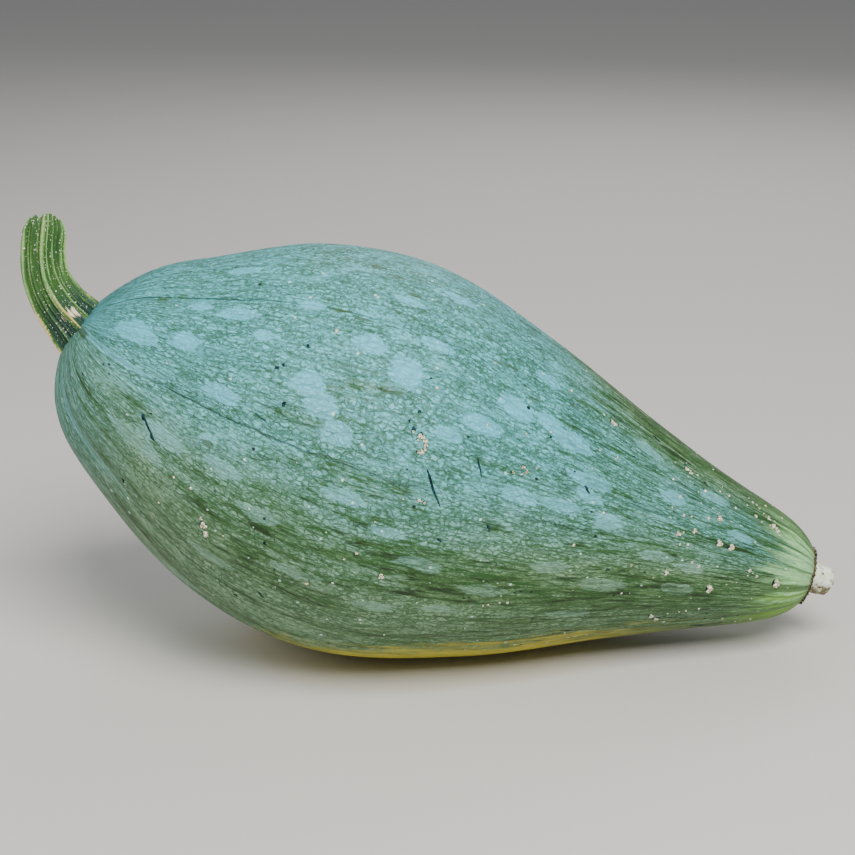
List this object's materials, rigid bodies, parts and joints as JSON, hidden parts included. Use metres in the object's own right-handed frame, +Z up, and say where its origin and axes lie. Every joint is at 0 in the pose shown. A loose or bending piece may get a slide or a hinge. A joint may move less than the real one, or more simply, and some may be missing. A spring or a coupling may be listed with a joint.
{
  "type": "winter squash",
  "caption": "Long teardrop-shaped winter squash with shallow lobes, a ridged cut stem and a corky flower button, lying on its belly on a small flat spot.",
  "frame": {"origin": "middle of the small flat spot on the belly that the squash rests on", "axes": "+X from the stem end towards the flower end, +Z up, +Y towards the side that the picture doesn't show"},
  "size_m": [0.3887, 0.1941, 0.2162],
  "materials": {
    "rind": "satin",
    "stem": "matte",
    "dry_ring": "matte",
    "cork": "matte"
  },
  "bodies": {
    "root": {"fruit": "rind", "stem": "stem", "corolla_scar": "dry_ring", "blossom_button": "cork"}
  },
  "joints": []
}
